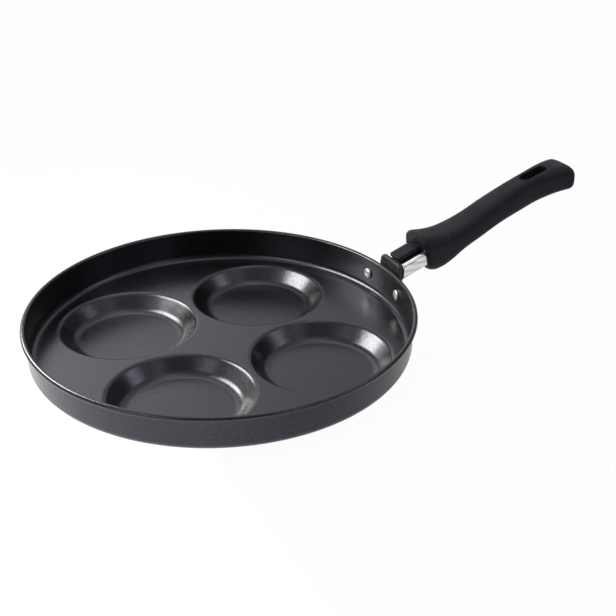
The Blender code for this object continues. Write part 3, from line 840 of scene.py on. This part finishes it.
# %% [markdown]
# The coating is a nearly black, satin, sprayed film with fine light flakes in it. What
# looks grey on it is the studio, mirrored faintly and a little blue, so the colour of
# its mirror images is set on the shader's Specular Tint. A thin, rough second gloss
# widens the highlights. Close up it has a slight orange peel from the spray gun, its
# gloss drifts over the floor, and its brightness changes in a fine grain. Flakes are
# the middles of a Voronoi pattern's cells, one every 0.7 mm.


# %% Non-stick coating
def flakes(finish, scale, size, soft=1.6):
    """1 near the middle of each Voronoi cell, out to size, and 0 from soft times that on."""
    tree = finish.node_tree
    place = tree.nodes.new("ShaderNodeTexCoord")
    cells = tree.nodes.new("ShaderNodeTexVoronoi")
    cells.inputs["Scale"].default_value = scale
    tree.links.new(place.outputs["Object"], cells.inputs["Vector"])
    return ranged(finish, cells.outputs["Distance"], 1.0, 0.0, size, size * soft)


BLUISH = (0.84, 0.81, 1.0, 1)

coating = new_finish("satin_nonstick_coating", (0.004, 0.004, 0.005), 0.0, 0.5)
satin = shader_of(coating)
satin.inputs["Specular Tint"].default_value = BLUISH
satin.inputs["IOR"].default_value = 1.63
satin.inputs["Coat Weight"].default_value = 0.08
satin.inputs["Coat Roughness"].default_value = 0.5
grain = ranged(coating, cloud(coating, 900, 4), 0, 1)
grey = between(coating, grain, (0.0015, 0.0015, 0.0018), (0.004, 0.004, 0.005))
glint = ranged(coating, flakes(coating, 1400, 0.14), 0, 0.5, 0, 1)
into(coating, "Base Color", between(coating, glint, grey, (0.05, 0.05, 0.056)))
into(coating, "Roughness", ranged(coating, cloud(coating, 70, 3), 0.19, 0.25))
into(coating, "Specular IOR Level", ranged(coating, cloud(coating, 650, 3), 0.4, 0.6))
peel = [(cloud(coating, 1200, 3), 0.0002, 0.3), (cloud(coating, 620, 2), 0.0003, 0.2)]
peel += [(cloud(coating, 160, 2), 0.0004, 0.06)]
bumped(coating, peel)
print("made", coating.name)

# %% [markdown]
# The bracket is sprayed with black stove paint, which is a little rougher than the
# coating. The guard is chromed: almost a mirror, with polishing streaks that run along
# it and a few cloudy finger marks. Rivets are aluminium, struck by a hammer, so their
# domes are mottled. The screw, nut and washers are zinc plated.

# %% Paint and chrome
paint = new_finish("black_stove_paint", (0.012, 0.012, 0.013), 0.0, 0.45)
mottled(paint, 400, 4, (0.008, 0.008, 0.009), (0.02, 0.02, 0.021))
into(paint, "Roughness", ranged(paint, cloud(paint, 120, 3), 0.28, 0.42))
bumped(paint, [(cloud(paint, 1500, 2), 0.0002, 0.2)])

chrome = new_finish("bright_chrome", (0.78, 0.78, 0.79), 1.0)
streaks = cloud(chrome, 420, 3, 0.6, (0.06, 1, 1))
bright_share = ranged(chrome, streaks, 0, 1, 0.38, 0.62)
bright = between(chrome, bright_share, (0.55, 0.55, 0.56), (0.92, 0.92, 0.93))
into(chrome, "Base Color", bright)
lines = cloud(chrome, 260, 3, 0.6, (0.15, 1, 1))
into(chrome, "Roughness", ranged(chrome, lines, 0.06, 0.18))
bumped(chrome, [(streaks, 0.00012, 0.3), (cloud(chrome, 60, 2), 0.0006, 0.12)])
print("made", paint.name, "and", chrome.name)

# %% Aluminium and zinc
aluminium = new_finish("struck_aluminium", (0.85, 0.85, 0.85), 1.0)
mottled(aluminium, 600, 3, (0.78, 0.78, 0.78), (0.96, 0.96, 0.96))
into(aluminium, "Roughness", ranged(aluminium, cloud(aluminium, 900, 3), 0.22, 0.5))
dents = [(cloud(aluminium, 700, 2), 0.0004, 0.35), (cloud(aluminium, 2500, 2), 0.0001, 0.2)]
bumped(aluminium, dents)

zinc = new_finish("zinc_plating", (0.6, 0.61, 0.63), 1.0)
mottled(zinc, 700, 3, (0.5, 0.51, 0.53), (0.68, 0.69, 0.7))
into(zinc, "Roughness", ranged(zinc, cloud(zinc, 1200, 3), 0.3, 0.5))
bumped(zinc, [(cloud(zinc, 2500, 2), 0.0001, 0.2)])
print("made", aluminium.name, "and", zinc.name)

# %% [markdown]
# Phenolic resin comes out of the mould matt and nearly black, with a faint grain and
# slightly lighter, bluish clouds where the filler shows.

# %% Phenolic
phenolic = new_finish("matt_black_phenolic", (0.008, 0.008, 0.010), 0.0, 0.23)
shader_of(phenolic).inputs["Specular Tint"].default_value = BLUISH
mottled(phenolic, 260, 5, (0.006, 0.006, 0.0085), (0.013, 0.013, 0.017))
into(phenolic, "Roughness", ranged(phenolic, cloud(phenolic, 70, 4), 0.42, 0.56))
pores = [(cloud(phenolic, 1100, 3), 0.0002, 0.4), (cloud(phenolic, 220, 2), 0.0005, 0.1)]
bumped(phenolic, pores)
print("made", phenolic.name)

# %% [markdown]
# The smooth pieces now take the place of their solids, each on the pan's one rigid
# body. The bracket and the small hidden fasteners keep their solids, which are exact
# enough, and only get a finish.

# %% Dress every piece
replaced = (
    (pan_sheet, coating, "pan_body", "coated_sheet"),
    (rivets[0], aluminium, "rivet_left", "rivet_aluminium"),
    (rivets[1], aluminium, "rivet_right", "rivet_aluminium"),
    (guard_tube, chrome, "flame_guard", "guard_chrome"),
    (grip, phenolic, "handle_grip", "phenolic"),
)
for piece, finish, node, slot in replaced:
    piece.data.materials.append(finish)
    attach(piece, "root")
    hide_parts(node)
fasteners = ("bracket_nut", "screw_washer", "lock_washer", "handle_screw")
kept = {"handle_bracket": paint} | dict.fromkeys(fasteners, zinc)
for node, finish in kept.items():
    for k in range(len(nodes[node].material_slots)):
        nodes[node].material_slots[k].material = finish
print(len(replaced), "pieces replaced,", len(kept), "kept")

# %% [markdown]
# The pan stands on a white sweep. A white floor would need a lot of light to come out
# white, and that light would wash out the pan, so the floor's material adds a plain
# white glow for the camera and for mirrors only. A small share of its shading stays
# real and keeps the soft shadow under the pan. For mirrors the glow is a painted pool
# of light: it is stronger on the left, where the light comes from. From below the floor
# is clear, so that the underside of the cups can be looked at.

# %% Floor
FLOOR_GAP, FLOOR_REACH = 0.0002, 9.0
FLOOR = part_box("pan_body")[0].z - FLOOR_GAP
square = ((-1, -1), (1, -1), (1, 1), (-1, 1))
corners = [(x * FLOOR_REACH, y * FLOOR_REACH, FLOOR) for x, y in square]
floor_mesh = bpy.data.meshes.new("studio_floor")
floor_mesh.from_pydata(corners, [], [(0, 1, 2, 3)])
floor = bpy.data.objects.new("studio_floor", floor_mesh)
bpy.context.scene.collection.objects.link(floor)
print("floor at", round(1000 * FLOOR, 1), "mm")


# %% Steps and shares for the light
def eased(tree, value, start, end, low, high):
    """low before start, high after end, and a soft step between."""
    node = tree.nodes.new("ShaderNodeMapRange")
    node.interpolation_type = "SMOOTHSTEP"
    for name, number in (("From Min", start), ("From Max", end), ("To Min", low), ("To Max", high)):
        node.inputs[name].default_value = number
    tree.links.new(value, node.inputs["Value"])
    return node.outputs["Result"]


def combined(tree, operation, first, second):
    """Two values put through one arithmetic step, such as MAXIMUM or MULTIPLY."""
    node = tree.nodes.new("ShaderNodeMath")
    node.operation = operation
    tree.links.new(first, node.inputs[0])
    tree.links.new(second, node.inputs[1])
    return node.outputs[0]


def seen_share(tree, share):
    """share for camera, mirror and glass rays, 0 for the light that falls on the pan."""
    rays = tree.nodes.new("ShaderNodeLightPath").outputs
    seen = combined(tree, "MAXIMUM", rays["Is Camera Ray"], rays["Is Glossy Ray"])
    seen = combined(tree, "MAXIMUM", seen, rays["Is Transmission Ray"])
    scaled = tree.nodes.new("ShaderNodeMath")
    scaled.operation = "MULTIPLY"
    scaled.inputs[1].default_value = share
    tree.links.new(seen, scaled.inputs[0])
    return scaled.outputs[0]


def mixed(tree, share, first, second):
    """One shader where share is 0, the other where it is 1."""
    mix = tree.nodes.new("ShaderNodeMixShader")
    tree.links.new(share, mix.inputs["Fac"])
    tree.links.new(first.outputs[0], mix.inputs[1])
    tree.links.new(second.outputs[0], mix.inputs[2])
    return mix


print("light helpers ready")

# %% White sweep
paper = new_finish("white_sweep", (0.9, 0.9, 0.9), 0.0, 0.0)
shader_of(paper).inputs["Roughness"].default_value = 0.9
tree = paper.node_tree
place = tree.nodes.new("ShaderNodeTexCoord")
split = tree.nodes.new("ShaderNodeSeparateXYZ")
tree.links.new(place.outputs["Object"], split.inputs[0])
# painted pool of light: the glow that mirrors see is stronger on the left, where the light comes
# from
painted_light_from_left = eased(tree, split.outputs["X"], -0.16, 0.04, 1.4, 0.7)
rays = tree.nodes.new("ShaderNodeLightPath").outputs
glow = tree.nodes.new("ShaderNodeEmission")
glow_level = combined(tree, "MAXIMUM", painted_light_from_left, rays["Is Camera Ray"])
tree.links.new(glow_level, glow.inputs["Strength"])
lit = mixed(tree, seen_share(tree, 0.97), shader_of(paper), glow)
underside = tree.nodes.new("ShaderNodeNewGeometry").outputs["Backfacing"]
one_way = mixed(tree, underside, lit, tree.nodes.new("ShaderNodeBsdfTransparent"))
tree.links.new(one_way.outputs[0], tree.nodes["Material Output"].inputs["Surface"])
floor_mesh.materials.append(paper)
print("made", paper.name)

# %% [markdown]
# A satin pan shows little of its own colour and much of the room, so the room is
# shaped by direction. Each step below reads X, Y or Z of the direction that a mirrored
# ray leaves in. The back is bright and falls off to the right, which makes the pan's
# floor fall from light to dark. The left, the front left and the far right are dark, so
# the inside of the wall stays nearly black, and a soft patch stands overhead. The
# camera itself sees plain white.

# %% World
world = bpy.data.worlds.new("studio")
bpy.context.scene.world = world
world.use_nodes = True
tree = world.node_tree
dim = tree.nodes["Background"]
dim.inputs["Color"].default_value = (0.3, 0.3, 0.3, 1)
white = tree.nodes.new("ShaderNodeBackground")
white.inputs["Color"].default_value = (1, 1, 1, 1)
direction = tree.nodes.new("ShaderNodeTexCoord")
parts = tree.nodes.new("ShaderNodeSeparateXYZ")
tree.links.new(direction.outputs["Generated"], parts.inputs[0])

side = eased(tree, parts.outputs["X"], -0.1, 0.5, 2.0, 0.58)
left = eased(tree, parts.outputs["X"], -0.15, 0.2, 0.2, 1.0)
front = eased(tree, parts.outputs["Y"], -0.6, 0.0, 0.15, 1.0)
right_front = eased(tree, parts.outputs["X"], 0.0, 0.25, 0.0, 0.8)
far_right = eased(tree, parts.outputs["X"], 0.7, 0.9, 1.0, 0.2)
overhead = eased(tree, parts.outputs["Z"], 0.65, 0.98, 0.0, 0.6)
level = combined(tree, "MULTIPLY", side, combined(tree, "MAXIMUM", front, right_front))
level = combined(tree, "MULTIPLY", level, left)
level = combined(tree, "MULTIPLY", level, far_right)
level = combined(tree, "MAXIMUM", level, overhead)
rays = tree.nodes.new("ShaderNodeLightPath").outputs
level = combined(tree, "MAXIMUM", level, rays["Is Camera Ray"])
tree.links.new(level, white.inputs["Strength"])
mix = mixed(tree, seen_share(tree, 1.0), dim, white)
tree.links.new(mix.outputs[0], tree.nodes["World Output"].inputs["Surface"])
print("world made")

# %% [markdown]
# Four soft boxes give the highlights. The key box hangs close behind the pan on the
# left and slopes down to the right, and its mirror images are the bright patches on
# the right sides of the cups. Being close, it also draws the light lines along the rim
# and the floor's corner. A box at the back lengthens those patches, one on the right
# puts a faint patch on each cup's left side and along the handle, and a large one on
# the left softens the rest.


# %% Lamps
def soft_box(name, place, target, width, height, power, roll):
    """A rectangular lamp at place that faces target, turned in its own plane by roll degrees."""
    lamp = bpy.data.lights.new(name, "AREA")
    lamp.shape = "RECTANGLE"
    lamp.size, lamp.size_y = width, height
    lamp.energy = power
    made = bpy.data.objects.new(name, lamp)
    made.location = place
    facing = (Vector(target) - Vector(place)).to_track_quat("-Z", "Y").to_matrix()
    made.rotation_euler = (facing @ Matrix.Rotation(math.radians(roll), 3, "Z")).to_euler()
    made.visible_camera = False
    bpy.context.scene.collection.objects.link(made)
    return made


# name, place, target, width, height, watts, roll
SOFT_BOXES = (
    ("key_box", (-0.192, 0.229, 0.243), (0.07, 0, 0), 0.245, 0.135, 1.85, 35),
    ("left_box", (-1.6, -0.6, 1.2), (0, 0, 0), 1.0, 1.0, 6, 0),
    ("right_box", (0.90, -0.41, 0.80), (0.04, 0, 0), 0.36, 0.3, 0.8, 0),
    ("back_box", (-0.373, 0.994, 0.345), (0.09, 0, 0), 0.26, 0.22, 0.36, 0),
)
boxes = [soft_box(*row) for row in SOFT_BOXES]
boxes[0].data.color = (1.0, 1.0, 0.89)
print("soft boxes:", len(boxes))

# %% [markdown]
# The camera looks down on the pan from the front left at about 28 degrees, with the
# mild perspective of a slightly long lens. Its place, aim and lens come from a fit to
# points measured in the photograph.

# %% Camera
camera = bpy.data.objects.new("camera", bpy.data.cameras.new("camera"))
camera.location = (-0.2409, -0.5889, 0.3642)
aim = Vector((0.0549, -0.0242, 0.0224)) - camera.location
camera.rotation_euler = aim.to_track_quat("-Z", "Y").to_euler()
camera.data.lens = 61.05
camera.data.sensor_width = 36
bpy.context.scene.collection.objects.link(camera)
bpy.context.scene.camera = camera
bpy.context.scene.view_settings.view_transform = "Standard"
print("camera placed")
